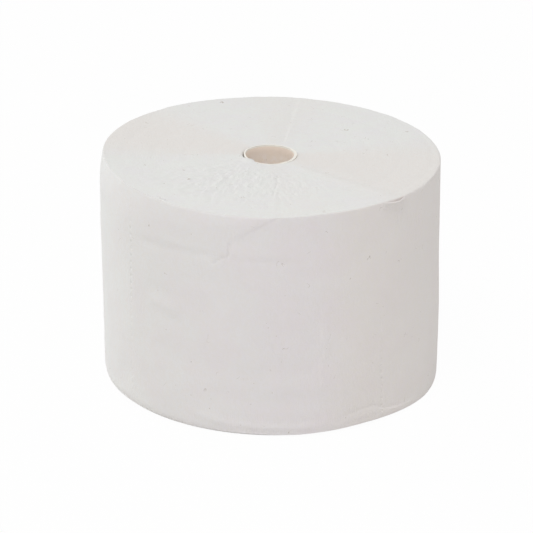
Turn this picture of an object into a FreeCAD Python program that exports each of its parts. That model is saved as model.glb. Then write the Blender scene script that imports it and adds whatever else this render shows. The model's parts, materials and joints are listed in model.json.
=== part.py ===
import FreeCAD, Part
import math
import os
import Sketcher

# A toilet paper roll: one long web of perforated two-ply tissue, wound on a narrow tube of greyboard.
# Millimetres. The roll stands on its end: origin at the bottom centre, +Z up its axis, -Y to the front.
# The web's free end lies behind, towards +X, and its turns grow anticlockwise seen from above.

doc = FreeCAD.newDocument("ToiletPaperRoll")

# The driving dimensions: alias, value, meaning
sizes = [
    ("roll_diameter", 132, "outside diameter, at the free end of the web"),
    ("sheet_width", 90, "width of the web, which is the height of the roll"),
    ("sheet_length", 110, "from one line of perforation to the next"),
    ("sheet_thickness", 0.3, "two plies of tissue where nothing presses on them"),
    ("tail_angle", 46.3, "where the free end lies, anticlockwise from +X"),
    ("core_bore", 18, "inside diameter of the tube"),
    ("core_wall", 0.8, "wall of the tube"),
    ("core_clearance", 0.05, "between the tube and the first turn"),
    ("top_rim", 0.8, "bevel of the upper rim, cut clean"),
    ("bottom_rim", 4, "radius of the lower rim, pressed soft where the roll stands"),
    ("mouth_flare", 0.5, "how far the first turns stand back from the tube at both ends"),
    ("turn_pitch", 12, "between the turns that show on an end face"),
    ("turn_width", 0.6, "width of the furrow between two turns"),
    ("turn_depth", 0.3, "depth of the furrow between two turns"),
    ("slit_pitch", 2.8, "between the slits of a line of perforation"),
    ("slit_length", 1.9, "length of a slit, across the web"),
    ("slit_width", 0.3, "opening of a slit, round the roll"),
]
sheet = doc.addObject("Spreadsheet::Sheet", "Sizes")
for row, (alias, value, meaning) in enumerate(sizes, start=1):
    sheet.set(f"A{row}", meaning)
    sheet.set(f"B{row}", str(value))
    sheet.setAlias(f"B{row}", alias)
doc.recompute()

# Expressions that more than one feature uses
height = "Sizes.sheet_width"
roll_radius = "Sizes.roll_diameter / 2"
log_radius = "(Sizes.roll_diameter / 2 - Sizes.sheet_thickness)"
bore_radius = "Sizes.core_bore / 2"
tube_radius = "(Sizes.core_bore / 2 + Sizes.core_wall)"
inner_turn = f"({tube_radius} + Sizes.core_clearance)"
sheet_angle = "(360 * Sizes.sheet_length / (pi * Sizes.roll_diameter))"

past = 1  # how far a cutting outline runs out of the solid
plane_up = FreeCAD.Vector(0, 1, 0)
plane_normal = FreeCAD.Vector(0, 0, 1)


def new_body(name, label):
    body = doc.addObject("PartDesign::Body", name)
    body.Label = label
    return body


def origin_item(body, role):
    return next(item for item in body.Origin.OriginFeatures if item.Role == role)


def new_sketch(body, name, plane, turn_axis=plane_normal, turn="0"):
    # turn is an angle about turn_axis, one of the sketch's own axes
    sketch = body.newObject("Sketcher::SketchObject", name)
    sketch.AttachmentSupport = [(origin_item(body, plane), "")]
    sketch.MapMode = "FlatFace"
    turned = FreeCAD.Rotation(turn_axis, sketch.evalExpression(turn))
    sketch.AttachmentOffset = FreeCAD.Placement(FreeCAD.Vector(), turned)
    if turn != "0":
        sketch.setExpression("AttachmentOffset.Rotation.Angle", turn)
    return sketch


def bind(sketch, constraint, name, expression):
    index = sketch.addConstraint(constraint)
    sketch.renameConstraint(index, name)
    sketch.setExpression(f"Constraints.{name}", expression)


def pin(sketch, curve, end, name, across, up):
    # Holds one end of a curve at two driven distances from the sketch's origin
    for letter, expression in (("X", across), ("Y", up)):
        distance = sketch.evalExpression(expression)
        constraint = Sketcher.Constraint(f"Distance{letter}", -1, 1, curve, end, distance)
        bind(sketch, constraint, f"{name}_{letter}", expression)


def draw_lines(sketch, corners):
    # A closed outline of straight lines; each corner is a pair of expressions
    places = [FreeCAD.Vector(*map(sketch.evalExpression, corner)) for corner in corners]
    for number, run in enumerate(zip(places, places[1:] + places[:1])):
        line = sketch.addGeometry(Part.LineSegment(*run), False)
        pin(sketch, line, 1, f"corner{number}", *corners[number])
        if number:
            sketch.addConstraint(Sketcher.Constraint("Coincident", line - 1, 2, line, 1))
    sketch.addConstraint(Sketcher.Constraint("Coincident", len(corners) - 1, 2, 0, 1))


def draw_circle(sketch, name, radius):
    size = sketch.evalExpression(radius)
    curve = sketch.addGeometry(Part.Circle(FreeCAD.Vector(), plane_normal, size), False)
    sketch.addConstraint(Sketcher.Constraint("Coincident", curve, 3, -1, 1))
    bind(sketch, Sketcher.Constraint("Radius", curve, size), name, radius)


def draw_growing_turn(sketch):
    # Two half circles and the free edge: the last turn ends one sheet further out than it starts
    middle = f"{roll_radius} - Sizes.sheet_thickness / 2"
    small, medium, full = [sketch.evalExpression(radius) for radius in (log_radius, middle, roll_radius)]
    first_half = Part.Circle(FreeCAD.Vector(), plane_normal, small)
    second_half = Part.Circle(FreeCAD.Vector(medium - small, 0, 0), plane_normal, medium)
    first = sketch.addGeometry(Part.ArcOfCircle(first_half, 0, math.pi), False)
    second = sketch.addGeometry(Part.ArcOfCircle(second_half, math.pi, 2 * math.pi), False)
    free_edge = Part.LineSegment(FreeCAD.Vector(full, 0, 0), FreeCAD.Vector(small, 0, 0))
    edge = sketch.addGeometry(free_edge, False)
    for joint in ((first, 3, -1, 1), (first, 2, second, 1), (second, 2, edge, 1), (edge, 2, first, 1)):
        sketch.addConstraint(Sketcher.Constraint("Coincident", *joint))
    for curve, end in ((first, 1), (first, 2), (second, 3), (second, 2)):
        sketch.addConstraint(Sketcher.Constraint("PointOnObject", curve, end, -1))
    bind(sketch, Sketcher.Constraint("Radius", first, small), "first_half", log_radius)
    bind(sketch, Sketcher.Constraint("Radius", second, medium), "second_half", middle)


def soften_rim(body, end, face, out, facets):
    # Takes the corner off the log beneath the last turn, whose own edge is left a little proud of it.
    # The cut follows a quarter circle in this many facets; out is +1 at the top and -1 at the bottom
    rim = f"Sizes.{end}_rim"
    sketch = new_sketch(body, f"{end.title()}RimOutline", "XZ_Plane")
    beyond = f"{face} + {out * past}"
    level = f"{face} - {out} * {rim}"
    corners = [
        (f"{log_radius} - {rim}", beyond),
        (f"{roll_radius} + {past}", beyond),
        (f"{roll_radius} + {past}", level),
    ]
    for facet in range(facets + 1):
        angle = f"{90 * facet / facets} deg"
        across = f"{log_radius} - {rim} * (1 - cos({angle}))"
        up = f"{level} + {out} * {rim} * sin({angle})"
        corners.append((across, up))
    draw_lines(sketch, corners)
    groove = body.newObject("PartDesign::Groove", f"{end.title()}Rim")
    groove.Profile = sketch
    groove.ReferenceAxis = (sketch, ["V_Axis"])
    groove.Angle = 360
    doc.recompute()


def flare_mouths(body):
    # The first turns stand back from the tube, so both ends of the hole are chamfered
    radius = body.evalExpression(inner_turn)
    edges = body.Tip.Shape.Edges
    rings = [
        f"Edge{number}"
        for number, edge in enumerate(edges, start=1)
        if edge.isClosed() and abs(edge.Length - 2 * math.pi * radius) < 0.001
    ]
    chamfer = body.newObject("PartDesign::Chamfer", "MouthFlare")
    chamfer.Base = (chamfer.BaseFeature, rings)
    chamfer.setExpression("Size", "Sizes.mouth_flare")
    doc.recompute()


def wind_turns(body, end, face, out):
    # A spiral furrow on one end face, as between the edges of the turns, starting in line with the free end
    sketch = new_sketch(body, f"{end.title()}TurnOutline", "XZ_Plane", plane_up, "Sizes.tail_angle")
    start = f"({inner_turn} + Sizes.mouth_flare + Sizes.turn_pitch / 2)"
    beyond = f"{face} + {out * past}"
    corners = [
        (f"{start} - Sizes.turn_width / 2", beyond),
        (f"{start} - Sizes.turn_width / 2", face),
        (start, f"{face} - {out} * Sizes.turn_depth"),
        (f"{start} + Sizes.turn_width / 2", face),
        (f"{start} + Sizes.turn_width / 2", beyond),
    ]
    draw_lines(sketch, corners)
    turns = body.newObject("PartDesign::SubtractiveHelix", f"{end.title()}Turns")
    turns.Profile = sketch
    turns.ReferenceAxis = (sketch, ["V_Axis"])
    turns.Mode = "height-turns-growth"
    turns.Height = 0
    room = f"{log_radius} - Sizes.{end}_rim - {start}"
    turns.setExpression("Turns", f"floor(({room}) / Sizes.turn_pitch)")
    turns.setExpression("Growth", "Sizes.turn_pitch")
    doc.recompute()


def perforate(body):
    # One slit through the last turn, repeated up the web and then once for each sheet that shows
    sketch = new_sketch(body, "SlitOutline", "XZ_Plane", plane_up, f"Sizes.tail_angle - {sheet_angle}")
    low = "Sizes.bottom_rim + (Sizes.slit_pitch - Sizes.slit_length) / 2"
    high = f"{low} + Sizes.slit_length"
    deep = f"{roll_radius} - 2 * Sizes.sheet_thickness"
    beyond = f"{roll_radius} + {past}"
    draw_lines(sketch, [(deep, low), (beyond, low), (beyond, high), (deep, high)])
    slit = body.newObject("PartDesign::Pocket", "Slit")
    slit.Profile = sketch
    slit.SideType = "Symmetric"
    slit.setExpression("Length", "Sizes.slit_width")
    doc.recompute()

    lines = body.newObject("PartDesign::MultiTransform", "Perforation")
    lines.Originals = [slit]
    axis = (origin_item(body, "Z_Axis"), [""])
    up_the_web = doc.addObject("PartDesign::LinearPattern", "UpTheWeb")
    up_the_web.Direction = axis
    up_the_web.Mode = "Spacing"
    up_the_web.setExpression("Offset", "Sizes.slit_pitch")
    room = f"{height} - Sizes.top_rim - Sizes.bottom_rim"
    up_the_web.setExpression("Occurrences", f"floor(({room}) / Sizes.slit_pitch)")
    round_the_roll = doc.addObject("PartDesign::PolarPattern", "RoundTheRoll")
    round_the_roll.Axis = axis
    round_the_roll.Mode = "Spacing"
    round_the_roll.Reversed = True
    round_the_roll.setExpression("Offset", sheet_angle)
    round_the_roll.setExpression("Occurrences", f"floor(360 / {sheet_angle})")
    lines.Transformations = [up_the_web, round_the_roll]
    doc.recompute()
    body.Tip = lines
    doc.recompute()


# The wound web: its turns are one solid
web = new_body("TissueWinding", "tissue_winding")
web_outline = new_sketch(web, "LastTurn", "XY_Plane", plane_normal, "Sizes.tail_angle")
draw_growing_turn(web_outline)
draw_circle(web_outline, "inner_turn", inner_turn)
web_pad = web.newObject("PartDesign::Pad", "Log")
web_pad.Profile = web_outline
web_pad.setExpression("Length", height)
doc.recompute()
flare_mouths(web)
for end, face, out, facets in (("top", height, 1, 1), ("bottom", "0", -1, 3)):
    soften_rim(web, end, face, out, facets)
    wind_turns(web, end, face, out)
perforate(web)

# The tube of greyboard, cut to length together with the web
tube = new_body("CoreTube", "core_tube")
tube_outline = new_sketch(tube, "TubeOutline", "XY_Plane")
draw_circle(tube_outline, "outside", tube_radius)
draw_circle(tube_outline, "bore", bore_radius)
tube_pad = tube.newObject("PartDesign::Pad", "Wall")
tube_pad.Profile = tube_outline
tube_pad.setExpression("Length", height)
doc.recompute()

# Nothing is written unless each feature holds, each cut takes something away and each sub-part is one solid
failed = [item.Name for item in doc.Objects if {"Invalid", "Error"} & set(item.State)]
cuts = ("PartDesign::Groove", "PartDesign::Pocket", "PartDesign::SubtractiveHelix")
for item in doc.Objects:
    if item.TypeId in cuts and item.Shape.Volume >= item.BaseFeature.Shape.Volume:
        failed.append(item.Name)
if failed:
    raise RuntimeError(f"failed: {', '.join(failed)}")
for body in (web, tube):
    if body.Shape.isNull() or not body.Shape.isValid() or len(body.Shape.Solids) != 1:
        raise RuntimeError(f"{body.Label} is not one sound solid")

os.makedirs("parts", exist_ok=True)
for body in (web, tube):
    body.Shape.exportStep(f"parts/{body.Label}.step")
    print(body.Label, round(body.Shape.Volume, 1), "mm3", len(body.Shape.Faces), "faces")
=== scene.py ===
import json
import math

import bmesh
import bpy
import numpy as np
from mathutils import Matrix, Vector, noise


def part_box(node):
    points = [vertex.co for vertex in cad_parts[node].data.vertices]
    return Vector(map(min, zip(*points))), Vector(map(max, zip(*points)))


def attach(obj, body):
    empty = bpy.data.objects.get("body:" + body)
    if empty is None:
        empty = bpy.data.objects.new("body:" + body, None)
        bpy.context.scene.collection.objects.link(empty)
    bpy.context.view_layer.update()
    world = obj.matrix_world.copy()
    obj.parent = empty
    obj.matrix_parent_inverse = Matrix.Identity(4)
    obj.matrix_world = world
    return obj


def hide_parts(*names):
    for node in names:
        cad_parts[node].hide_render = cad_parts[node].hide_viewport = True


# A toilet paper roll on a pale floor: the wound tissue and its board tube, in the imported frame.
# Lengths are in mm and turned to metres when a mesh is written. Angles are read from the front, in degrees,
# 0 at -Y and positive towards +X.

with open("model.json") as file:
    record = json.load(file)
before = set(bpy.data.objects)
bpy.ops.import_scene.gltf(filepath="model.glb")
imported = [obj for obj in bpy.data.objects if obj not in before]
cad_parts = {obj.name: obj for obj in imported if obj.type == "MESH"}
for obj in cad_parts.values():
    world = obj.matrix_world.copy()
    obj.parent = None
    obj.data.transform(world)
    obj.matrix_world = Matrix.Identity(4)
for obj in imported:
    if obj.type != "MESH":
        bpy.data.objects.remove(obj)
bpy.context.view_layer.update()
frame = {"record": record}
mm = 0.001
slack = 0.05  # mm, for telling which face of a piece a point lies on
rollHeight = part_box("tissue_winding")[1].z / mm
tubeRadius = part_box("core_tube")[1].x / mm
boreRadius = next(m for m in frame["record"]["mounts"] if m["name"] == "core_bore")["dims"]["r_mm"]
holeRadius = tubeRadius + 0.05


def hexColour(code):
    # sRGB hex to the linear values that a shader takes
    parts = [int(code[i:i + 2], 16) / 255 for i in (1, 3, 5)]
    return [p / 12.92 if p <= 0.04045 else ((p + 0.055) / 1.055) ** 2.4 for p in parts] + [1.0]


def addNode(tree, kind, settings=None, inputs=None, links=()):
    # One node with its settings, its plain input values, and links as (source node, its output, own input)
    node = tree.nodes.new(kind)
    for key, value in (settings or {}).items():
        setattr(node, key, value)
    for key, value in (inputs or {}).items():
        node.inputs[key].default_value = value
    for source, output, own in links:
        tree.links.new(source.outputs[output], node.inputs[own])
    return node


def newMaterial(name):
    material = bpy.data.materials.new(name)
    material.use_nodes = True
    material.node_tree.nodes.clear()
    return material, material.node_tree


# Camera: a long lens a little above the roll, turned slightly, as the photograph shows it
camera = {
    "lens": 207.4,
    "sensor": 36.0,
    "distance": 1205.0,  # mm, to a point on the roll's axis
    "pointHeight": 44.5,
    "elevation": 22.67,
    "roll": 0.89,
    "aimRight": 1.42,  # mm, how far that point lies off the picture's centre
    "aimUp": 1.75,
    "clipEnd": 20,  # metres
}


def placeCamera():
    elevation = math.radians(camera["elevation"])
    roll = math.radians(camera["roll"])
    forward = Vector((0, math.cos(elevation), -math.sin(elevation)))
    level = Vector((1, 0, 0))
    up = Vector((0, math.sin(elevation), math.cos(elevation)))
    right = math.cos(roll) * level + math.sin(roll) * up
    upright = -math.sin(roll) * level + math.cos(roll) * up
    place = Vector((0, 0, camera["pointHeight"])) - camera["distance"] * forward
    place -= camera["aimRight"] * right + camera["aimUp"] * upright
    data = bpy.data.cameras.new("camera")
    data.lens = camera["lens"]
    data.sensor_width = camera["sensor"]
    data.clip_end = camera["clipEnd"]
    view = bpy.data.objects.new("camera", data)
    bpy.context.scene.collection.objects.link(view)
    turn = Matrix((right, upright, -forward)).transposed().to_4x4()
    view.matrix_world = Matrix.Translation(place * mm) @ turn
    bpy.context.scene.camera = view


# Floor and light: a white sweep under an even dome, a soft key from the upper left and two fills. In metres
studio = {
    "floorSize": 6.0,
    "floorColour": "#E8E7E5",
    "floorWhite": 0.97,  # share of plain white that the camera sees, the rest is the lit floor
    "domeStrength": 0.61,
    "aim": (0, 0, 0.05),
    "lamps": {  # place, size and power
        "softKey": ((-0.4, -0.85, 1.65), 0.8, 11.5),
        "leftFill": ((-1.35, 1.13, 0.35), 0.8, 8.5),
        "rightFill": ((1.7, -0.1, 0.35), 1.2, 2.6),
    },
}


def addFloor():
    bpy.ops.mesh.primitive_plane_add(size=studio["floorSize"], location=(0, 0, 0))
    floor = bpy.context.active_object
    floor.name = "floor"
    material, tree = newMaterial("studioWhite")
    lit = addNode(tree, "ShaderNodeBsdfDiffuse", inputs={"Color": hexColour(studio["floorColour"])})
    white = addNode(tree, "ShaderNodeEmission", inputs={"Strength": 1.0})
    path = addNode(tree, "ShaderNodeLightPath")
    share = addNode(tree, "ShaderNodeMath", {"operation": "MULTIPLY"}, {1: studio["floorWhite"]},
                    [(path, "Is Camera Ray", 0)])
    seen = addNode(tree, "ShaderNodeMixShader", links=[(share, 0, 0), (lit, 0, 1), (white, 0, 2)])
    addNode(tree, "ShaderNodeOutputMaterial", links=[(seen, 0, "Surface")])
    floor.data.materials.append(material)


def addLights():
    world = bpy.data.worlds.new("dome")
    bpy.context.scene.world = world
    world.use_nodes = True
    tree = world.node_tree
    tree.nodes.clear()
    path = addNode(tree, "ShaderNodeLightPath")
    strength = addNode(tree, "ShaderNodeMix", {"data_type": "FLOAT"},
                       {"A": studio["domeStrength"], "B": 1.0}, [(path, "Is Camera Ray", "Factor")])
    dome = addNode(tree, "ShaderNodeBackground", inputs={"Color": (1, 1, 1, 1)},
                   links=[(strength, "Result", "Strength")])
    addNode(tree, "ShaderNodeOutputWorld", links=[(dome, 0, "Surface")])
    for name, (place, size, power) in studio["lamps"].items():
        light = bpy.data.lights.new(name, "AREA")
        light.shape = "DISK"
        light.size = size
        light.energy = power
        lamp = bpy.data.objects.new(name, light)
        bpy.context.scene.collection.objects.link(lamp)
        lamp.location = place
        lamp.rotation_euler = (Vector(studio["aim"]) - lamp.location).to_track_quat("-Z", "Y").to_euler()


bpy.context.scene.view_settings.view_transform = "Standard"
placeCamera()
addFloor()
addLights()
print("camera, floor and lights")


# Wound tissue: a cylinder cut into columns, rows and rings, then pressed into the roll's real form
tissue = {
    "radius": 66.0,
    "columns": 400,
    "sideRows": 84,
    "topRings": 62,
    "bottomRings": 12,
    "holeRows": 5,
    "frontCrowding": 0.22,  # how much closer the columns stand at the front
    "rowCrowding": (0.6, 0.7),  # how much closer the rows stand at the lower and upper rim
    "ringCrowding": 0.7,
    "smoothBelow": 60,  # degrees between faces
    "sheetThickness": 0.3,
    "tailAngle": 136.3,
    # Rims, as (angle, how far in the curve starts, how far along the side it runs)
    "topRim": [(-150, 0.2, 0.5), (-125, 0.3, 0.6), (-90, 0.35, 0.6), (-30, 0.4, 0.7), (-12, 0.5, 1.1), (4, 0.4, 0.6),
               (60, 0.4, 0.5), (90, 0.5, 0.8), (112, 0.8, 1.2), (140, 0.3, 0.6)],
    "bottomRim": [(-110, 2.6, 4.2), (-75, 1.6, 5.0), (-40, 2.0, 4.0), (-10, 0.3, 4.0), (15, 0.4, 3.0), (34, 0.9, 1.6),
                  (58, 0.5, 1.1), (95, 0.7, 1.4), (150, 3.0, 3.6)],
    # Below the upper rim the side leans in to a crest, as (angle, how far, from how far below)
    "drawIn": [(-125, 0.4, 5), (-100, 1.2, 8), (-85, 1.5, 12), (-70, 1.5, 14), (-55, 1.2, 12), (-38, 0.9, 9),
               (-25, 0.7, 6), (-8, 0.5, 4), (2, 0.05, 3), (100, 0, 3)],
    "drawCurve": 1.4,
    "drawOver": 6,  # how far onto the end the crest draws its turns along
    # How far the upper rim hangs down and the lower one lifts, as (angle, how far)
    "rimSink": [(-130, 0), (-100, -0.5), (-80, -1.2), (-62, -0.75), (-45, 0), (-20, 0.6), (4, 0.7), (16, 0.1),
                (24, -0.3), (38, -0.3), (50, 0)],
    "rimLift": [(10, 0), (34, 1.1), (50, 0.9), (66, 0.1), (80, 0)],
    "levelWithin": 25,  # radius out to which both ends stay level
    "liftReach": 4,  # how far up the side the lower rim's lift fades
    "lean": -1.6,  # how far the top stands from above the bottom, along X
    "swell": 0.5,  # how far the right side swells, at what height and over what reach
    "swellHeight": 22,
    "swellReach": 16,
    "topDish": 0.5,  # how far the middle of an end lies behind its rim
    "bottomDish": 0.3,
}

# Unevenness of the log, as (height, size of the lumps, seed)
lumps = {
    "side": [(0.55, 34, 1), (0.16, 9, 2)],
    "top": [(0.3, 26, 3), (0.12, 6, 4)],
    "topGrain": [(0.035, 1.9, 5)],
}

# The soft furrow between the turns that show on the ends
furrow = {"start": 16.35, "pitch": 12.0, "depth": 0.1, "width": 0.9, "topTurns": 4, "bottomTurns": 3}

# Mouths: the first turns stand back from the tube by the gap, as (angle, how far), and at the front left of the upper
# end they lap over it
mouth = {
    "gap": [(-175, 0.5), (-150, 0.84), (-125, 0.9), (-95, 0.76), (-60, 0.42), (-20, 0.33), (60, 0.46), (100, 0.62),
            (140, 0.52), (175, 0.42)],
    "gapDepth": 0.45,
    "gapReach": 1.4,
    "dip": 0.35,
    "dipReach": 0.5,
    "lipAngle": -50,
    "lipSpan": 15,
    "lipDepth": (0.9, 1.2),  # how far down the hole it is drawn inwards, and where it ends
    "lipIn": 1.6,
    "lipReach": 1.0,
    "lipUp": 0.6,
    "lipCrest": (1.2, 1.6),  # how far from the hole it is highest, and how wide
}


def bell(offset, width):
    return np.exp(-((offset / width) ** 2))


def deselectAll():
    for thing in bpy.context.selected_objects:
        thing.select_set(False)


def selectOnly(piece):
    deselectAll()
    piece.select_set(True)
    bpy.context.view_layer.objects.active = piece


def smoothShade(piece, angle):
    selectOnly(piece)
    bpy.ops.object.shade_smooth_by_angle(angle=math.radians(angle))


def pick(mesh, test):
    # Selects the faces whose middle passes the test, in edit mode
    bm = bmesh.from_edit_mesh(mesh)
    for face in bm.faces:
        face.select_set(bool(test(face.calc_center_median())))
    bm.select_flush_mode()
    bmesh.update_edit_mesh(mesh)


def pickUprights(mesh):
    # Selects the edges that run from one end to the other
    bpy.ops.mesh.select_mode(type="EDGE")
    bpy.ops.mesh.select_all(action="DESELECT")
    bm = bmesh.from_edit_mesh(mesh)
    for edge in bm.edges:
        edge.select_set(abs(edge.verts[0].co.z - edge.verts[1].co.z) > rollHeight / 2)
    bmesh.update_edit_mesh(mesh)


def stepWidths(count, span, fineStart, fineEnd):
    # Widths of rings or rows from one side to the other, narrower over a tenth of the way at both
    places = (np.arange(count) + 0.5) / count
    widths = 1 - fineStart * bell(places, 0.1) - fineEnd * bell(1 - places, 0.1)
    return widths * span / widths.sum()


def closedRing(name, outside, inside, columns, rings, crowding, rows, holeRows):
    # A cylinder as high as the roll with a hole through it; rings are (level, count) for each end
    deselectAll()
    bpy.ops.mesh.primitive_cylinder_add(vertices=columns, radius=outside, depth=rollHeight, end_fill_type="NGON",
                                        location=(0, 0, rollHeight / 2))
    piece = bpy.context.active_object
    piece.name = name
    piece.data.name = name
    bpy.ops.object.transform_apply(location=True, rotation=True, scale=True)
    bpy.ops.object.mode_set(mode="EDIT")
    bpy.ops.mesh.select_mode(type="FACE")
    for level, count in rings:
        pick(piece.data, lambda middle: abs(middle.z - level) < slack)
        for width in stepWidths(count, outside - inside, crowding, crowding):
            bpy.ops.mesh.inset(thickness=width, depth=0)
        bpy.ops.mesh.delete(type="FACE")
    bpy.ops.mesh.select_mode(type="EDGE")
    bpy.ops.mesh.select_all(action="DESELECT")
    bpy.ops.mesh.select_non_manifold()
    bpy.ops.mesh.bridge_edge_loops(number_cuts=holeRows)
    pickUprights(piece.data)
    bpy.ops.mesh.subdivide(number_cuts=rows - 1)
    bpy.ops.mesh.select_all(action="SELECT")
    bpy.ops.mesh.normals_make_consistent(inside=False)
    bpy.ops.object.mode_set(mode="OBJECT")
    return piece


def refine(piece, cuts, test):
    # Divides the faces that pass the test, given angle from the front, radius and height
    def chosen(middle):
        return test(math.degrees(math.atan2(middle.x, -middle.y)), math.hypot(middle.x, middle.y), middle.z)

    bpy.ops.object.mode_set(mode="EDIT")
    bpy.ops.mesh.select_mode(type="FACE")
    pick(piece.data, chosen)
    bpy.ops.mesh.subdivide(number_cuts=cuts)
    bpy.ops.object.mode_set(mode="OBJECT")


def readPlaces(mesh):
    flat = np.empty(len(mesh.vertices) * 3)
    mesh.vertices.foreach_get("co", flat)
    return flat.reshape(-1, 3)


def writePlaces(mesh, places):
    mesh.vertices.foreach_set("co", places.ravel())
    mesh.update()


def faceMiddles(mesh):
    middles = np.empty(len(mesh.polygons) * 3)
    mesh.polygons.foreach_get("center", middles)
    return middles.reshape(-1, 3)


def addTint(mesh, name, values):
    layer = mesh.attributes.new(name, "FLOAT", "POINT")
    layer.data.foreach_set("value", values)


def triangles(piece):
    return sum(len(polygon.vertices) - 2 for polygon in piece.data.polygons)


def frontAngles(places):
    return np.degrees(np.arctan2(places[:, 0], -places[:, 1]))


def setRound(radii, angles, heights):
    turned = np.radians(angles)
    return np.stack((radii * np.sin(turned), -radii * np.cos(turned), heights), 1)


def leanOver(placed, heights):
    placed[:, 0] += tissue["lean"] * (heights / rollHeight - 0.5)


def crowd(piece):
    # Moves the columns towards the front, where the roll is looked at, and the rows towards both rims
    places = readPlaces(piece.data)
    radii = np.hypot(places[:, 0], places[:, 1])
    angles = frontAngles(places)
    angles -= np.degrees(tissue["frontCrowding"] * np.sin(np.radians(angles)))
    rows = np.concatenate(([0], np.cumsum(stepWidths(tissue["sideRows"], rollHeight, *tissue["rowCrowding"]))))
    evenly = np.linspace(0, rollHeight, len(rows))
    heights = places[:, 2].copy()
    side = radii > tissue["radius"] - slack
    heights[side] = np.interp(heights[side], evenly, rows)
    writePlaces(piece.data, setRound(radii, angles, heights))


# Lines of perforation: the line's angle at each height, and how open its slits stand there, as (height, value)
perforations = [
    {"line": [(8, -53.4), (50, -53.1), (76, -52.6)],
     "open": [(4, 0.2), (28, 0.3), (42, 0.5), (47, 1), (73, 1), (78, 0.2)]},
    {"line": [(3, 40.6), (28, 39.8), (85, 39.4)],
     "open": [(4, 0.8), (24, 0.8), (34, 0.3), (44, 0.3), (54, 0)]},
    {"line": [(0, -150.2), (89, -150.2)],
     "open": [(0, 0.7), (89, 0.7)]},
]
slits = {"start": 2.8, "pitch": 2.8, "half": 0.42, "width": 0.28, "depth": 0.36, "softness": 0.07,
         "refineCuts": 3, "refineSpan": 0.85, "refineLow": 3, "refineHigh": 2}


def lineAngle(perforation, height):
    heights, angles = zip(*perforation["line"])
    return np.interp(height, heights, angles)


# Where the mesh is divided again, as (cuts, angles, radii, heights)
onSide = (tissue["radius"] - slack, math.inf)
onTop = (rollHeight - slack, math.inf)
tailEdge = (tissue["tailAngle"] - 0.6, tissue["tailAngle"] + 0.6)
finePatches = [
    (1, (-22, 8), onSide, (66, math.inf)),  # the long crease under the upper rim
    (1, (24, 62), onSide, (0.5, 10)),  # the fold at the lower right
    (2, tailEdge, (tissue["radius"] - 3, math.inf), (-math.inf, math.inf)),
    (1, (-60, 30), (16, 44), onTop),  # the puckers
    (5, (-42.6, -35.6), (62.4, 64.6), onTop),  # the slit in the upper rim
]

# Creases and folds on the side, as (kind, path, width, height, reach), with paths in (angle, height).
# Only a step has a reach
sideStrokes = [
    ("step", [(6.4, 90.7), (2.1, 89.2), (-1.6, 86.5), (-5.6, 84), (-9.8, 80.4), (-12.9, 78)], 1.5, -0.3, 8),
    ("valley", [(4.9, 90.5), (2.1, 89.2), (-1.6, 86.6), (-5.6, 84.1), (-9.8, 80.5)], 0.6, -0.13, 0),
    ("valley", [(-8.4, 81.7), (-11.2, 79.8), (-13.4, 78.3)], 1.5, -0.16, 0),
    ("valley", [(-12.9, 79.2), (-12.9, 76.6), (-13, 74), (-14, 72.6)], 0.45, -0.42, 0),
    ("valley", [(-13.9, 73.6), (-16.2, 71.6), (-19.2, 69.2)], 0.4, -0.3, 0),
    ("valley", [(-15.6, 73.4), (-17.6, 71.9)], 0.35, -0.22, 0),
    ("ridge", [(-12.1, 76.2), (-12.6, 73.8), (-14.6, 71.4)], 0.9, 0.03, 0),
    ("valley", [(-52, 72.2), (-43.8, 71.4), (-31.2, 72.2), (-18.9, 72.9), (-15.4, 72.7)], 1.7, -0.24, 0),
    ("ridge", [(-48, 74.6), (-31.2, 74.6), (-18.9, 75)], 2.2, 0.12, 0),
    ("valley", [(-14, 71.9), (2, 72), (18.9, 72.2)], 1.2, -0.1, 0),
    ("ridge", [(-12, 74), (2, 74.5), (14, 74)], 2.0, 0.07, 0),
    ("valley", [(-46, 54), (-33, 52.5)], 2.6, -0.22, 0),
    ("valley", [(-43, 44), (-29, 42.5)], 2.6, -0.2, 0),
    ("ridge", [(-45, 48.5), (-30, 47.6)], 2.0, 0.14, 0),
    ("valley", [(-38, 29), (-10, 26), (22, 27)], 4.5, -0.22, 0),
    ("ridge", [(-30, 8.6), (-22, 6.4), (-14, 4.8), (-4, 4), (10, 3.8), (22, 4.2)], 1.4, 0.3, 0),
    ("valley", [(-30, 16), (0, 14.5), (24, 15)], 3.2, -0.18, 0),
    ("ridge", [(19.6, 58), (18.2, 36), (16.2, 13.6)], 1.6, 0.16, 0),
    ("valley", [(17.4, 58), (16, 36), (14, 14)], 1.8, -0.12, 0),
    ("valley", [(22, 5.8), (30.4, 7.4), (36.8, 7.8), (41.4, 5.4), (49.4, 3.6), (58, 3.4)], 0.6, -0.14, 0),
    ("ridge", [(20, 2.6), (30, 4.6), (36.8, 5.2), (41.6, 3.2), (49.4, 2.2), (60, 2.4)], 1.5, 0.14, 0),
    ("ridge", [(42, 4.2), (49.4, 3.0), (60, 2.9)], 0.55, 0.14, 0),
    ("ridge", [(-88, 33.5), (-86.3, 35.2), (-77.4, 42.1), (-68.6, 49.3)], 0.5, 0.08, 0),
]

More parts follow.
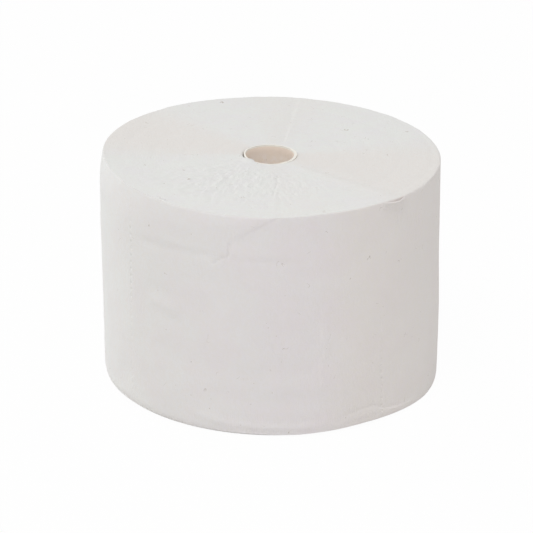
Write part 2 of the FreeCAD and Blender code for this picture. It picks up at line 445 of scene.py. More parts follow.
# Folds of the turns on the upper end, with paths in (x, y)
topStrokes = [
    ("step", [(5.4, 10), (8, 31.2), (11.5, 62.9), (11.9, 66)], 0.35, -0.22, 4),
    ("ridge", [(6, 14), (8.5, 31.2), (12, 62.9), (12.3, 66)], 0.5, 0.12, 0),
    ("ridge", [(2.9, -38), (2.2, -49.9), (1.4, -66)], 0.6, 0.1, 0),
    ("valley", [(3.4, -20), (2.6, -33), (1.1, -46)], 0.4, -0.2, 0),
    ("ridge", [(8.5, -12), (27.1, -28.1), (44.7, -42.6), (48, -45)], 2.2, 0.26, 0),
    ("valley", [(10.5, -9.5), (29.6, -25), (47, -38.6)], 2.0, -0.08, 0),
    ("ridge", [(-13.5, -18), (-17.5, -25.4), (-20.7, -36.3), (-23.3, -41.2)], 0.8, 0.15, 0),
    ("valley", [(-12, -18.5), (-16, -25.8), (-19.2, -36.7), (-22.6, -42)], 0.7, -0.16, 0),
    ("valley", [(-20.4, -39.4), (-21.6, -42.6)], 0.5, -0.2, 0),
    ("ridge", [(-12.5, -6.2), (-20.5, -7.6), (-29.4, -8.9)], 0.9, 0.12, 0),
    ("valley", [(-12.5, -8), (-20.5, -10), (-31, -12.5)], 1.0, -0.12, 0),
    ("ridge", [(-14.2, -10.5), (-22.9, -17.1), (-28.9, -24.8)], 0.9, 0.16, 0),
    ("valley", [(-13, -11.6), (-21.9, -18.6), (-27.6, -26)], 0.9, -0.14, 0),
    ("valley", [(-42, -46.9), (-40.2, -49.3), (-37.8, -51.6)], 0.3, -1.1, 0),
    ("valley", [(-3.1, 40.8), (-3.7, 37), (-1.5, 36)], 0.5, -0.12, 0),
    ("valley", [(-11, 37.6), (-8, 34)], 0.5, -0.1, 0),
]

# Short wrinkles that fan out from the tube over the front of the upper end
puckers = {
    "count": 1500,
    "seed": 7,
    "start": (11, 43, 0.7),  # nearest to the axis, how much further out, and the power that spreads them
    "angles": (-66, 38),
    "fan": [(-66, 1), (-45, 0.9), (-25, 0.6)],  # share of its own angle that a wrinkle's run is turned by
    "scatter": 14,
    "length": (2.2, 6.0),
    "width": (0.4, 0.7),
    "height": (0.04, 0.11),
    "raisedOrSunk": (0.6, 0.4),
    "strength": [(-66, 0.8), (-45, 1.9), (-12, 1.5), (6, 0.9), (38, 0.4)],
    "strongest": 37,  # radius at which they are strongest, and how far from it they fade on each side of an angle
    "leftFade": 30,
    "rightFade": 18,
    "rightFrom": 6,
}


def alongPath(across, up, path):
    # Distance from each place to a path, which side of its run the place lies on, and the share of the way along
    path = np.array(path, float)
    lengths = np.hypot(*(path[1:] - path[:-1]).T)
    best = np.full(len(across), math.inf)
    side = np.zeros(len(across))
    way = np.zeros(len(across))
    walked = 0
    for (x0, y0), (x1, y1), length in zip(path[:-1], path[1:], lengths):
        runX, runY = (x1 - x0) / length, (y1 - y0) / length
        ahead = np.clip((across - x0) * runX + (up - y0) * runY, 0, length)
        offX, offY = across - x0 - ahead * runX, up - y0 - ahead * runY
        distance = np.hypot(offX, offY)
        nearer = distance < best
        best = np.where(nearer, distance, best)
        side = np.where(nearer, np.sign(runX * offY - runY * offX), side)
        way = np.where(nearer, (walked + ahead) / lengths.sum(), way)
        walked += length
    return best, side, way


def strokeRelief(across, up, stroke):
    # Height that a stroke adds at each place, tapered over both ends of its path. A step lifts or lowers the left
    # of its run and fades over its reach
    kind, path, width, height, reach = stroke
    distance, side, way = alongPath(across, up, path)
    taper = np.clip(way / 0.18, 0, 1) * np.clip((1 - way) / 0.18, 0, 1)
    taper = taper * taper * (3 - 2 * taper)
    if kind == "step":
        rise = 0.5 + 0.5 * np.tanh(side * distance / width)
        return height * rise * bell(distance, reach) * np.clip(way / 0.1, 0.4, 1) * taper ** 0.3
    return height * bell(distance, width) * taper


def puckerRelief(across, up):
    rng = np.random.default_rng(puckers["seed"])
    nearest, further, power = puckers["start"]
    relief = np.zeros(len(across))
    for _ in range(puckers["count"]):
        start = nearest + further * rng.random() ** power
        turned = rng.uniform(*puckers["angles"])
        angle = math.radians(turned)
        fanned = turned * np.interp(turned, *zip(*puckers["fan"]))
        run = math.radians(rng.normal(fanned, puckers["scatter"]))
        length = rng.uniform(*puckers["length"])
        x0, y0 = start * math.sin(angle), -start * math.cos(angle)
        x1, y1 = x0 + length * math.sin(run), y0 - length * math.cos(run)
        strength = np.interp(turned, *zip(*puckers["strength"]))
        fade = puckers["leftFade"] if turned < puckers["rightFrom"] else puckers["rightFade"]
        strength *= math.exp(-(((start - puckers["strongest"]) / fade) ** 2))
        distance, _, way = alongPath(across, up, [(x0, y0), (x1, y1)])
        height = rng.uniform(*puckers["height"]) * strength * rng.choice((1, -1), p=puckers["raisedOrSunk"])
        relief += height * bell(distance, rng.uniform(*puckers["width"])) * np.sin(np.pi * np.clip(way, 0, 1))
    return relief


def softNoise(places, size, seed):
    # Smooth unevenness with lumps of about this size; a seed moves it to another part of the noise
    shift = Vector((seed * 17.3, seed * 5.9, seed * 11.1))
    return np.array([noise.noise(Vector(place) / size + shift) for place in places])


def lumpRelief(places, layers):
    return sum(height * softNoise(places, size, seed) for height, size, seed in layers)


def turnRelief(angles, radii, count):
    # The furrow grows outwards from the free end as the web does
    share = ((angles - tissue["tailAngle"]) % 360) / 360
    relief = np.zeros(len(radii))
    for turn in range(count):
        middle = furrow["start"] + furrow["pitch"] * (turn + share)
        relief -= furrow["depth"] * bell(radii - middle, furrow["width"])
    return relief


def slitRelief(around, heights):
    relief = np.zeros(len(heights))
    for perforation in perforations:
        lineAround = np.radians(lineAngle(perforation, heights)) * tissue["radius"]
        slot = (heights - slits["start"]) % slits["pitch"] - slits["pitch"] / 2
        openness = np.interp(heights, *zip(*perforation["open"]))
        withinSlot = 1 + np.exp((np.abs(slot) - slits["half"]) / slits["softness"])
        relief -= slits["depth"] * openness * (bell(around - lineAround, slits["width"]) / withinSlot)
    return relief


def shapeTissue(piece):
    places = readPlaces(piece.data)
    radius = tissue["radius"]
    radii = np.hypot(places[:, 0], places[:, 1])
    angles = frontAngles(places)
    heights = places[:, 2]
    top = heights > rollHeight - slack
    bottom = heights < slack
    hole = radii < holeRadius + slack
    side = radii > radius - slack
    radii[side] = radius

    # Rims: the distance from the corner along the surface becomes an angle on the rim's curve
    outR, outZ = np.where(side, 1.0, 0.0), np.where(top, 1.0, np.where(bottom, -1.0, 0.0))
    baseR, baseZ = radii.copy(), heights.copy()
    for level, sign, onEnd, rim in ((rollHeight, 1, top, tissue["topRim"]), (0, -1, bottom, tissue["bottomRim"])):
        rimAngles, rimIn, rimAlong = zip(*rim)
        inwards = np.interp(angles, rimAngles, rimIn, period=360)
        alongSide = np.interp(angles, rimAngles, rimAlong, period=360)
        fromCorner = np.where(onEnd, (radius - radii) / inwards, -np.abs(level - heights) / alongSide)
        near = (onEnd | side) & (np.abs(fromCorner) < 1)
        bend = np.radians((fromCorner[near] + 1) * 45)
        baseR[near] = radius - inwards[near] * (1 - np.cos(bend))
        baseZ[near] = level - sign * alongSide[near] * (1 - np.sin(bend))
        outR[near], outZ[near] = np.cos(bend), sign * np.sin(bend)
    drawAngles, drawIn, drawAlong = zip(*tissue["drawIn"])
    rise = 1 - (rollHeight - heights) / np.interp(angles, drawAngles, drawAlong, period=360)
    rise = np.clip(np.where(top, 1 - (radius - radii) / tissue["drawOver"], rise), 0, 1) ** tissue["drawCurve"]
    baseR -= np.where(top | side, rise, 0) * np.interp(angles, drawAngles, drawIn, period=360)

    # The side: the last turn grows by one sheet to its free edge, then broad unevenness, creases and slits
    softPlaces = np.stack((places[:, 0], places[:, 1], heights), 1)
    around = np.radians(angles) * radius
    sideRelief = -tissue["sheetThickness"] * (1 - ((angles - tissue["tailAngle"]) % 360) / 360)
    sideRelief += lumpRelief(softPlaces, lumps["side"])
    for kind, path, width, height, reach in sideStrokes:
        aroundPath = [(math.radians(angle) * radius, level) for angle, level in path]
        sideRelief += strokeRelief(around, heights, (kind, aroundPath, width, height, reach))
    sideRelief += slitRelief(around, heights)

    # The ends: a slight dish and the furrow, and on the upper one unevenness, folds and puckers
    outward = np.clip((radius - radii) / (radius - holeRadius), 0, 1)
    topRelief = -tissue["topDish"] * outward + turnRelief(angles, radii, furrow["topTurns"])
    topRelief += lumpRelief(softPlaces, lumps["top"])
    topRelief += lumpRelief(softPlaces, lumps["topGrain"])
    for stroke in topStrokes:
        topRelief += strokeRelief(places[:, 0], places[:, 1], stroke)
    topRelief += puckerRelief(places[:, 0], places[:, 1])
    bottomRelief = turnRelief(angles, radii, furrow["bottomTurns"]) - tissue["bottomDish"] * outward

    radial = baseR + sideRelief * outR
    level = baseZ + np.where(outZ > 0, topRelief, bottomRelief) * outZ
    towardsRim = np.clip((radii - tissue["levelWithin"]) / (radius - tissue["levelWithin"]), 0, 1) ** 2
    level -= np.interp(angles, *zip(*tissue["rimSink"])) * towardsRim * (heights / rollHeight) ** 3
    level += np.interp(angles, *zip(*tissue["rimLift"])) * towardsRim * bell(heights, tissue["liftReach"])

    # The mouths of the hole
    gap = np.interp(angles, *zip(*mouth["gap"]), period=360)
    fromHole = radii - holeRadius
    for end, sign, onEnd in ((rollHeight, 1, top), (0, -1, bottom)):
        radial += np.where(hole, gap * bell(np.abs(end - heights), mouth["gapDepth"]), 0)
        radial += np.where(onEnd & ~hole, gap * bell(fromHole, mouth["gapReach"]), 0)
        level -= np.where(onEnd, sign * mouth["dip"] * bell(fromHole, mouth["dipReach"]), 0)
    drawnDepth, lipDepth = mouth["lipDepth"]
    lip = bell(angles - mouth["lipAngle"], mouth["lipSpan"]) * (heights > rollHeight - lipDepth)
    reach = bell(fromHole, mouth["lipReach"]) * (top | (hole & (heights > rollHeight - drawnDepth)))
    radial -= lip * reach * mouth["lipIn"]
    crest, crestWidth = mouth["lipCrest"]
    level += lip * bell(fromHole - crest, crestWidth) * top * mouth["lipUp"]

    placed = setRound(radial, angles, level)
    leanOver(placed, level)
    swell = tissue["swell"] * bell(level - tissue["swellHeight"], tissue["swellReach"])
    placed[:, 0] += swell * np.clip(np.sin(np.radians(angles)), 0, 1)
    writePlaces(piece.data, placed * mm)


# Painted light on the paper by angle: sectors of the ends are painted a little warmer, a painted reflection where the
# turns lie over another way, as (middle, half width, strength), and the side is painted pinker, creamier and a little
# darker towards the right, a painted tint and shade of the light there, as (angle, strength)
paintedLightTints = {
    "reflectionSectors": [(-112, 26, 1.0), (72, 30, 1.0), (172, 16, 0.35), (12, 14, 0.25)],
    "mauve": [(-120, 0.2), (-75, 0.05), (-40, 0.4), (0, 0.75), (35, 1.0), (80, 0.75), (150, 0.4)],
    "cream": [(-120, 0.1), (-75, 0.05), (-50, 0.35), (0, 0.05), (15, 0.1), (30, 0.9), (80, 0.8), (150, 0.3)],
}


def paintTissueLight(piece):
    places = readPlaces(piece.data)
    angles = frontAngles(places)
    side = np.hypot(places[:, 0], places[:, 1]) > tissue["radius"] - slack
    # Painted reflection on the ends and painted light tint and shade on the side, by angle
    reflectionSectors = sum(strength * np.exp(-((((angles - middle + 180) % 360 - 180) / halfWidth) ** 4))
                  for middle, halfWidth, strength in paintedLightTints["reflectionSectors"])
    mauve = np.interp(angles, *zip(*paintedLightTints["mauve"]), period=360)
    cream = np.interp(angles, *zip(*paintedLightTints["cream"]), period=360)
    addTint(piece.data, "paintedMauveLight", np.where(side, mauve, reflectionSectors))
    addTint(piece.data, "paintedCreamLight", np.where(side, cream, 0))


# Colours of the paper, and sizes of its patterns in mm
tissueLook = {
    "sheet": "#EAEBEA",
    # sheetMauve and sheetCream serve random clouds and patches, and the painted light tint and shade towards the
    # right
    "sheetMauve": "#EAE3E6",
    "sheetCream": "#E9E4DD",
    "sheetClouds": 13.0,
    "sheetPatches": 1.5,
    "crepe": (0.55, 0.55, 2.6),  # crepe folds stand upright, drawn coarser than real ones so that they show
    "crepeDepth": 0.12,
    "sheetFuzz": 0.35,
    "ends": "#E8E9E6",
    "endsMauve": "#E8E6E7",
    # endsWarm serves random patches and the painted reflection of the warmer sectors
    "endsWarm": "#E8E4E0",
    "endsClouds": 9.0,
    "endsPatches": 1.1,
    "endsGrain": 0.8,
    "endsDepth": 0.2,
    "rings": 0.28,  # rings of turns to the mm in the wave's own count, coarser than real ones so that they show
    "fleck": "#A49A8F",
    "fleckSpacing": 6.5,
    "fleckSize": 0.17,
    "speck": "#B8AEA2",
    "speckSpacing": 3.1,
    "speckSize": 0.13,
    "hair": "#B9AFA3",
    "hairCurl": 2.4,
    "hairWidth": 0.012,  # in the noise's own values
    "hairSpacing": 4.3,
    "sheetRarity": 0.78,  # of hairs, from 0 to 1
    "endsRarity": 0.74,
    "ior": 1.47,
}
smooth = {"interpolation_type": "SMOOTHSTEP"}
blend = {"data_type": "RGBA"}
colourA, colourB, colourOut = 6, 7, 2  # a Mix node's sockets for colours
scaleAndAdd = {"operation": "MULTIPLY_ADD"}  # input 0 times input 1, plus input 2
scaleAndClamp = {"operation": "MULTIPLY_ADD", "use_clamp": True}


def rise(low, high, first=0.0, last=1.0):
    # From first to last while the value goes from low to high
    return {"From Min": low, "From Max": high, "To Min": first, "To Max": last}


def lumpPattern(tree, coords, size, detail, roughness=0.55):
    # Noise with lumps of this size in mm, one figure or one for each axis
    sizes = size if isinstance(size, tuple) else (size, size, size)
    mapped = addNode(tree, "ShaderNodeMapping", inputs={"Scale": [1 / (s * mm) for s in sizes]},
                     links=[(coords, "Object", "Vector")])
    return addNode(tree, "ShaderNodeTexNoise", inputs={"Scale": 1.0, "Detail": detail, "Roughness": roughness},
                   links=[(mapped, 0, "Vector")])


def fleckMask(tree, coords, spacing, size):
    # Small dark flecks of fibre, in about one cell out of three
    mapped = addNode(tree, "ShaderNodeMapping", inputs={"Scale": [1 / (spacing * mm)] * 3},
                     links=[(coords, "Object", "Vector")])
    cells = addNode(tree, "ShaderNodeTexVoronoi", {"feature": "F1"}, {"Scale": 1.0}, [(mapped, 0, "Vector")])
    spot = addNode(tree, "ShaderNodeMapRange", smooth, rise(0.7 * size / spacing, 1.4 * size / spacing, 1.0, 0.0),
                   [(cells, "Distance", "Value")])
    chosen = addNode(tree, "ShaderNodeMapRange", smooth, rise(0.66, 0.7), [(cells, "Color", "Value")])
    return addNode(tree, "ShaderNodeMath", {"operation": "MULTIPLY"}, links=[(spot, 0, 0), (chosen, 0, 1)])


def hairMask(tree, coords, rarity):
    # Short curled hairs: a thin contour of one noise, kept only where another one is high
    curls = lumpPattern(tree, coords, tissueLook["hairCurl"], 0.0)
    line = addNode(tree, "ShaderNodeMath", {"operation": "COMPARE"}, {1: 0.5, 2: tissueLook["hairWidth"]},
                   [(curls, "Fac", 0)])
    spread = lumpPattern(tree, coords, tissueLook["hairSpacing"], 0.0)
    kept = addNode(tree, "ShaderNodeMapRange", smooth, rise(rarity, rarity + 0.02, 0.0, 0.6),
                   [(spread, "Fac", "Value")])
    return addNode(tree, "ShaderNodeMath", {"operation": "MULTIPLY"}, links=[(line, 0, 0), (kept, 0, 1)])


def addFlecks(tree, coords, colour, rarity):
    # Recycled pulp: a few dark flecks, more, finer and paler specks, and a few hairs
    hairs = hairMask(tree, coords, rarity)
    specks = fleckMask(tree, coords, tissueLook["speckSpacing"], tissueLook["speckSize"])
    flecks = fleckMask(tree, coords, tissueLook["fleckSpacing"], tissueLook["fleckSize"])
    for mask, mark in ((hairs, "hair"), (specks, "speck"), (flecks, "fleck")):
        colour = addNode(tree, "ShaderNodeMix", blend, {colourB: hexColour(tissueLook[mark])},
                         [(mask, 0, "Factor"), (colour, colourOut, colourA)])
    return colour


def finishSurface(tree, colour, rough, height, depth, ior, specular):
    # Closes a material: its colour, its roughness, and relief of this depth in mm from (node, output)
    bump = addNode(tree, "ShaderNodeBump", inputs={"Strength": 1.0, "Distance": depth * mm},
                   links=[(*height, "Height")])
    surface = addNode(tree, "ShaderNodeBsdfPrincipled", inputs={"IOR": ior, "Specular IOR Level": specular},
                      links=[(colour, colourOut, "Base Color"), (rough, 0, "Roughness"), (bump, 0, "Normal")])
    addNode(tree, "ShaderNodeOutputMaterial", links=[(surface, 0, "Surface")])


def crepedTissue():
    # Two-ply tissue, creped on the drying drum, as the sheet's face shows it: matt and soft, finely ribbed, with
    # faint clouds of mauve and cream, and painted light: pinker, creamier and a little darker towards the right
    material, tree = newMaterial("crepedTissue")
    coords = addNode(tree, "ShaderNodeTexCoord")
    clouds = lumpPattern(tree, coords, tissueLook["sheetClouds"], 3.0)
    clouded = addNode(tree, "ShaderNodeMapRange", smooth, rise(0.36, 0.66, -0.12, 0.14), [(clouds, "Fac", "Value")])
    # Painted light: the side's pink tint and shade by angle, added to the random clouds
    mauveLight = addNode(tree, "ShaderNodeAttribute", {"attribute_name": "paintedMauveLight"})
    mauve = addNode(tree, "ShaderNodeMath", scaleAndClamp, {1: 0.85}, [(mauveLight, "Fac", 0), (clouded, 0, 2)])
    patches = lumpPattern(tree, coords, tissueLook["sheetPatches"], 3.0, 0.7)
    spotted = addNode(tree, "ShaderNodeMapRange", smooth, rise(0.38, 0.62, -0.05, 0.22), [(patches, "Fac", "Value")])
    # Painted light: the side's creamy tint by angle, added to the random patches
    creamLight = addNode(tree, "ShaderNodeAttribute", {"attribute_name": "paintedCreamLight"})
    cream = addNode(tree, "ShaderNodeMath", scaleAndClamp, {1: 0.5}, [(creamLight, "Fac", 0), (spotted, 0, 2)])
    colour = addNode(tree, "ShaderNodeMix", blend,
                     {colourA: hexColour(tissueLook["sheet"]), colourB: hexColour(tissueLook["sheetMauve"])},
                     [(mauve, 0, "Factor")])
    colour = addNode(tree, "ShaderNodeMix", blend, {colourB: hexColour(tissueLook["sheetCream"])},
                     [(cream, 0, "Factor"), (colour, colourOut, colourA)])
    colour = addFlecks(tree, coords, colour, tissueLook["sheetRarity"])
    crepe = lumpPattern(tree, coords, tissueLook["crepe"], 3.0, 0.62)
    fuzz = lumpPattern(tree, coords, tissueLook["sheetFuzz"], 2.0, 0.6)
    height = addNode(tree, "ShaderNodeMath", scaleAndAdd, {1: 0.5}, [(fuzz, "Fac", 0), (crepe, "Fac", 2)])
    rough = addNode(tree, "ShaderNodeMapRange", smooth, rise(0.2, 0.8, 0.88, 0.98), [(crepe, "Fac", "Value")])
    finishSurface(tree, colour, rough, (height, 0), tissueLook["crepeDepth"], tissueLook["ior"], 0.25)
    return material


def cutTissueEnds():
    # The edges of some four hundred turns, sawn across: dead matt and fibrous, with hardly a ring to see, and with
    # sectors painted a little warmer, a painted reflection
    material, tree = newMaterial("cutTissueEnds")
    coords = addNode(tree, "ShaderNodeTexCoord")
    clouds = lumpPattern(tree, coords, tissueLook["endsClouds"], 4.0, 0.7)
    mauve = addNode(tree, "ShaderNodeMapRange", smooth, rise(0.4, 0.62, 0.0, 0.6), [(clouds, "Fac", "Value")])
    patches = lumpPattern(tree, coords, tissueLook["endsPatches"], 3.0, 0.7)
    spotted = addNode(tree, "ShaderNodeMapRange", smooth, rise(0.4, 0.62, -0.1, 0.35), [(patches, "Fac", "Value")])
    # Painted reflection: the warmer sectors of the ends, added to the random patches
    paintedReflection = addNode(tree, "ShaderNodeAttribute", {"attribute_name": "paintedMauveLight"})
    warm = addNode(tree, "ShaderNodeMath", scaleAndClamp, {1: 0.8}, [(paintedReflection, "Fac", 0), (spotted, 0, 2)])
    colour = addNode(tree, "ShaderNodeMix", blend,
                     {colourA: hexColour(tissueLook["ends"]), colourB: hexColour(tissueLook["endsMauve"])},
                     [(mauve, 0, "Factor")])
    colour = addNode(tree, "ShaderNodeMix", blend, {colourB: hexColour(tissueLook["endsWarm"])},
                     [(warm, 0, "Factor"), (colour, colourOut, colourA)])
    colour = addFlecks(tree, coords, colour, tissueLook["endsRarity"])
    inMm = addNode(tree, "ShaderNodeMapping", inputs={"Scale": [1 / mm] * 3}, links=[(coords, "Object", "Vector")])
    rings = addNode(tree, "ShaderNodeTexWave", {"wave_type": "RINGS", "rings_direction": "Z"},
                    {"Scale": tissueLook["rings"], "Distortion": 3.0, "Detail": 2.0, "Detail Scale": 1.5},
                    [(inMm, 0, "Vector")])
    grain = lumpPattern(tree, coords, tissueLook["endsGrain"], 3.0, 0.65)
    height = addNode(tree, "ShaderNodeMath", scaleAndAdd, {1: 0.03}, [(rings, "Fac", 0), (grain, "Fac", 2)])
    rough = addNode(tree, "ShaderNodeMapRange", smooth, rise(0.2, 0.8, 0.92, 1.0), [(grain, "Fac", "Value")])
    finishSurface(tree, colour, rough, (height, 0), tissueLook["endsDepth"], tissueLook["ior"], 0.2)
    return material


def addTissueMaterials(piece, sheet, ends):
    # The ends and the hole's wall show cut edges, the side shows the sheet
    piece.data.materials.append(sheet)
    piece.data.materials.append(ends)
    middles = faceMiddles(piece.data)
    side = np.hypot(middles[:, 0], middles[:, 1]) > tissue["radius"] - slack
    piece.data.polygons.foreach_set("material_index", np.where(side, 0, 1).astype(np.int32))


sheetFace = crepedTissue()
web = closedRing("woundTissue", tissue["radius"], holeRadius, tissue["columns"],
                 ((rollHeight, tissue["topRings"]), (0, tissue["bottomRings"])), tissue["ringCrowding"],
                 tissue["sideRows"], tissue["holeRows"])
crowd(web)
for perforation in perforations:
    refine(web, slits["refineCuts"], lambda angle, r, z: r > tissue["radius"] - slack
           and slits["refineLow"] < z < rollHeight - slits["refineHigh"]
           and abs(angle - lineAngle(perforation, z)) < slits["refineSpan"])
for cuts, (left, right), (inner, outer), (low, high) in finePatches:
    refine(web, cuts, lambda angle, r, z: left < angle < right and inner < r < outer and low < z < high)
addTissueMaterials(web, sheetFace, cutTissueEnds())
paintTissueLight(web)
shapeTissue(web)
smoothShade(web, tissue["smoothBelow"])
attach(web, "root")
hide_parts("tissue_winding")
print("wound tissue:", triangles(web), "triangles")


# Board tube: strips of greyboard wound on a mandrel and glued, cut to length together with the tissue
tube = {
    "columns": 128,
    "rows": 90,
    "endRings": 4,
    "fineEnds": 1.2,  # how far from each end the mesh is divided again
    "smoothBelow": 50,
    "recess": 0.1,  # how far its ends lie below the roll's, and how much more at the front
    "frontRecess": 0.65,
    "flare": 0.36,  # how far both ends open, and how much more the outer ply spreads at the right
    "spread": 0.42,
    "spreadLess": 0.05,
    "flareDepth": 1.5,
    "fray": 0.2,  # how far the saw leaves the inner corner of each end frayed open
    "frayUneven": 0.1,
    "frayDepth": 0.5,
    "burr": 0.1,
    "burrSize": 1.6,
    "hollow": 0.05,  # how far the inner face lies back, and how uneven it is
    "uneven": 0.08,
    "unevenSize": 7,
    "seamLead": 72.0,  # height that the seam climbs in one turn
    "seamStart": 31.0,
    "seamWidth": 0.3,
    "seamDepth": 0.16,
    "inside": "#FEF6F0",
    "insideDark": "#FBF1E6",
    # Painted shade: the bore's wall is painted browner below its upper end, where light falls on it from above
    "insideMouthShade": "#EEE0D3",  # browner over the last few millimetres
    "mouthFrom": 6,
    "mouthTo": 1,
    "clouds": 3.4,
    "fibre": "#B0906C",
    "fibres": (0.3, 0.3, 1.6),
    "fibreDepth": 0.05,
    "edge": "#F3F0E8",
    "edgeDepth": 0.65,  # how far down the cut edge's pale fibres show
    "fuzz": 0.5,
    "fuzzDepth": 0.1,
    "ior": 1.5,
}


def shapeTube(piece):
    places = readPlaces(piece.data)
    radii = np.hypot(places[:, 0], places[:, 1])
    angles = frontAngles(places)
    heights = places[:, 2]
    inside = radii < boreRadius + slack
    outside = radii > tubeRadius - slack
    toEnd = np.minimum(heights, rollHeight - heights)
    onEnd = toEnd < slack
    radial = radii.copy()
    climb = (heights - tube["seamStart"] + tube["seamLead"] * angles / 360) % tube["seamLead"]
    slope = math.atan2(tube["seamLead"], 2 * math.pi * boreRadius)
    fromSeam = np.minimum(climb, tube["seamLead"] - climb) * math.cos(slope)
    radial += inside * tube["seamDepth"] * bell(fromSeam, tube["seamWidth"])
    softPlaces = np.stack((places[:, 0], places[:, 1], heights), 1)
    uneven = softNoise(softPlaces, tube["unevenSize"], 11)
    burr = softNoise(softPlaces, tube["burrSize"], 12)
    radial += inside * (tube["hollow"] + tube["uneven"] * uneven)
    radial += inside * (tube["fray"] + tube["frayUneven"] * burr) * bell(toEnd, tube["frayDepth"])
    flared = bell(toEnd, tube["flareDepth"])
    spread = tube["spread"] * np.clip(np.sin(np.radians(angles)), 0, 1) - tube["spreadLess"]
    radial += (tube["flare"] + spread * outside) * flared
    recess = tube["recess"] + tube["frontRecess"] * np.clip(np.cos(np.radians(angles)), 0, 1)
    upper = np.where(heights > rollHeight / 2, 1, -1)
    level = heights - upper * recess * flared
    level += np.where(onEnd & ~inside & ~outside, upper * tube["burr"] * burr, 0)
    placed = setRound(radial, angles, level)
    leanOver(placed, level)
    writePlaces(piece.data, placed * mm)


def greyboard():
    # Recycled board, calendered and glued: dull, a little fibrous, with brown fibre marks, and painted shade,
    # browner, on the bore's wall near its upper end
    material, tree = newMaterial("greyboard")
    coords = addNode(tree, "ShaderNodeTexCoord")
    clouds = lumpPattern(tree, coords, tube["clouds"], 3.0)
    tone = addNode(tree, "ShaderNodeMapRange", smooth, rise(0.38, 0.64), [(clouds, "Fac", "Value")])
    fibres = lumpPattern(tree, coords, tube["fibres"], 2.0, 0.7)
    marks = addNode(tree, "ShaderNodeMapRange", smooth, rise(0.64, 0.74, 0.0, 0.5), [(fibres, "Fac", "Value")])
    place = addNode(tree, "ShaderNodeSeparateXYZ", links=[(coords, "Object", 0)])
    # Painted shade: darker over the last few millimetres below the upper end
    mouthShade = addNode(tree, "ShaderNodeMapRange", smooth,
                        rise((rollHeight - tube["mouthFrom"]) * mm, (rollHeight - tube["mouthTo"]) * mm),
                        [(place, "Z", "Value")])
    colour = addNode(tree, "ShaderNodeMix", blend,
                     {colourA: hexColour(tube["inside"]), colourB: hexColour(tube["insideDark"])},
                     [(tone, 0, "Factor")])
    for mask, shade in ((marks, "fibre"), (mouthShade, "insideMouthShade")):
        colour = addNode(tree, "ShaderNodeMix", blend, {colourB: hexColour(tube[shade])},
                         [(mask, 0, "Factor"), (colour, colourOut, colourA)])
    rough = addNode(tree, "ShaderNodeMapRange", smooth, rise(0.3, 0.7, 0.78, 0.92), [(clouds, "Fac", "Value")])
    finishSurface(tree, colour, rough, (fibres, "Fac"), tube["fibreDepth"], tube["ior"], 0.35)
    return material


def cutBoardEdge():
    # The sawn end of the board: pale, raised fibre that scatters light evenly
    material, tree = newMaterial("cutBoardEdge")
    coords = addNode(tree, "ShaderNodeTexCoord")
    fuzz = lumpPattern(tree, coords, tube["fuzz"], 3.0, 0.7)
    tone = addNode(tree, "ShaderNodeMapRange", smooth, rise(0.52, 0.72, 0.0, 0.6), [(fuzz, "Fac", "Value")])
    colour = addNode(tree, "ShaderNodeMix", blend,
                     {colourA: hexColour(tube["edge"]), colourB: hexColour(tube["inside"])}, [(tone, 0, "Factor")])
    rough = addNode(tree, "ShaderNodeMapRange", smooth, rise(0.3, 0.7, 0.88, 0.97), [(fuzz, "Fac", "Value")])
    finishSurface(tree, colour, rough, (fuzz, "Fac"), tube["fuzzDepth"], tube["ior"], 0.3)
    return material


def addTubeMaterials(piece):
    piece.data.materials.append(greyboard())
    piece.data.materials.append(cutBoardEdge())
    middles = faceMiddles(piece.data)[:, 2]
    toEnd = np.minimum(middles, rollHeight - middles)
    edge = np.where(toEnd < tube["edgeDepth"], 1, 0).astype(np.int32)
    piece.data.polygons.foreach_set("material_index", edge)


board = closedRing("boardTube", tubeRadius, boreRadius, tube["columns"],
                   ((rollHeight, tube["endRings"]), (0, tube["endRings"])), 0, tube["rows"], 0)
refine(board, 1, lambda angle, r, z: min(z, rollHeight - z) < tube["fineEnds"])
addTubeMaterials(board)
shapeTube(board)
smoothShade(board, tube["smoothBelow"])
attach(board, "root")
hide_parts("core_tube")
print("board tube:", triangles(board), "triangles")


# Loose plies: the web's free end behind, and a loop of the outer ply that stands off the rim at the front right
freeEnd = {
    "length": 13.0,  # from where it leaves the roll to the line of the free edge, and how far past it
    "past": 1.6,
    "low": 4.6,
    "high": 89.3,
    "divisions": (30, 120),
    "ply": 0.12,
    "tuck": 0.2,  # how far its start lies in the roll, and how far the rest stands off
    "off": 0.25,
    "clear": 0.02,
    "lift": 0.3,  # how far the edge lifts, how much that varies, and over what height
    "wave": 0.3,
    "waveSize": 14,
    "tooth": 2.8,  # pitch and depth of the teeth that tearing leaves, and how ragged they are
    "toothDepth": 0.45,
    "ragged": 0.35,
    "raggedSize": 1.7,
    # Painted light tint, as on the side where the free end lies
    "paintedLightTints": (0.45, 0.35),  # mauve and cream
}
plyLoop = {
    "from": 40.0,  # angles
    "to": 50.2,
    "low": 87.2,
    "high": 90.05,
    "divisions": (26, 8),
    "ply": 0.4,
    "tuck": 0.1,
    "bulge": 1.9,
    "fullness": 0.8,
    "sag": 0.35,
    # Painted light tint, as on the side where the loop lies
    "paintedLightTints": (0.9, 0.85),
    "smoothBelow": 50,
}


def flatPly(name, across, up, divisions):
    # A flat sheet from 0 to its size both ways, ready to be laid on the roll
    deselectAll()
    bpy.ops.mesh.primitive_grid_add(x_subdivisions=divisions[0], y_subdivisions=divisions[1], size=1,
                                    location=(0.5, 0.5, 0))
    ply = bpy.context.active_object
    ply.name = name
    ply.data.name = name
    ply.scale = (across, up, 1)
    ply.location = (across / 2, up / 2, 0)
    bpy.ops.object.transform_apply(location=True, rotation=True, scale=True)
    return ply


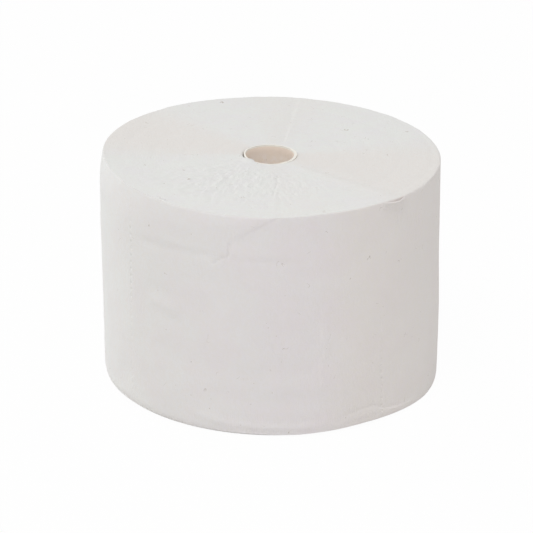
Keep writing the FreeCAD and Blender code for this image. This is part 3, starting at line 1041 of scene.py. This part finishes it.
def finishPly(ply, thickness, mauveAndCream):
    selectOnly(ply)
    wall = ply.modifiers.new("ply", "SOLIDIFY")
    wall.thickness = thickness * mm
    wall.offset = 0
    bpy.ops.object.modifier_apply(modifier=wall.name)
    # The painted light tint of the side where the ply lies
    for name, value in zip(("paintedMauveLight", "paintedCreamLight"), mauveAndCream):
        addTint(ply.data, name, np.full(len(ply.data.vertices), value))
    ply.data.materials.append(sheetFace)
    smoothShade(ply, plyLoop["smoothBelow"])
    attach(ply, "root")


def upTheEdge(heights, size, x, y):
    return np.array([noise.noise(Vector((height / size, x, y))) for height in heights])


def layFreeEnd():
    span = freeEnd["length"] + freeEnd["past"]
    ply = flatPly("freeEnd", span, freeEnd["high"] - freeEnd["low"], freeEnd["divisions"])
    flat = readPlaces(ply.data)
    share = flat[:, 0] / span
    heights = flat[:, 1] + freeEnd["low"]
    tooth = np.abs((heights / freeEnd["tooth"]) % 1 - 0.5) * 2
    torn = freeEnd["toothDepth"] * tooth ** 3
    torn = torn + freeEnd["ragged"] * upTheEdge(heights, freeEnd["raggedSize"], 3.3, 8.1)
    around = flat[:, 0] - freeEnd["length"] - torn * share ** 6
    angles = tissue["tailAngle"] + np.degrees(around / tissue["radius"])
    wave = freeEnd["wave"] * upTheEdge(heights, freeEnd["waveSize"], 1.7, 5.2)
    lift = (freeEnd["lift"] + wave) * np.clip((share - 0.35) / 0.65, 0, 1) ** 2
    out = np.clip(share * 6, 0, 1)
    radial = tissue["radius"] + freeEnd["clear"] + freeEnd["off"] * out - freeEnd["tuck"] * (1 - out)
    placed = setRound(radial + np.maximum(lift, 0), angles, heights)
    leanOver(placed, heights)
    writePlaces(ply.data, placed * mm)
    finishPly(ply, freeEnd["ply"], freeEnd["paintedLightTints"])


def layPlyLoop():
    ply = flatPly("plyLoop", 1, 1, plyLoop["divisions"])
    flat = readPlaces(ply.data)
    along, up = flat[:, 0], flat[:, 1]
    angles = plyLoop["from"] + (plyLoop["to"] - plyLoop["from"]) * along
    arch = np.sin(np.pi * along)
    heights = plyLoop["low"] + (plyLoop["high"] - plyLoop["low"] - plyLoop["sag"] * arch) * up
    off = plyLoop["bulge"] * arch ** plyLoop["fullness"] * up ** 2
    placed = setRound(tissue["radius"] - plyLoop["tuck"] + off, angles, heights)
    leanOver(placed, heights)
    writePlaces(ply.data, placed * mm)
    finishPly(ply, plyLoop["ply"], plyLoop["paintedLightTints"])


layFreeEnd()
layPlyLoop()
print("loose plies")
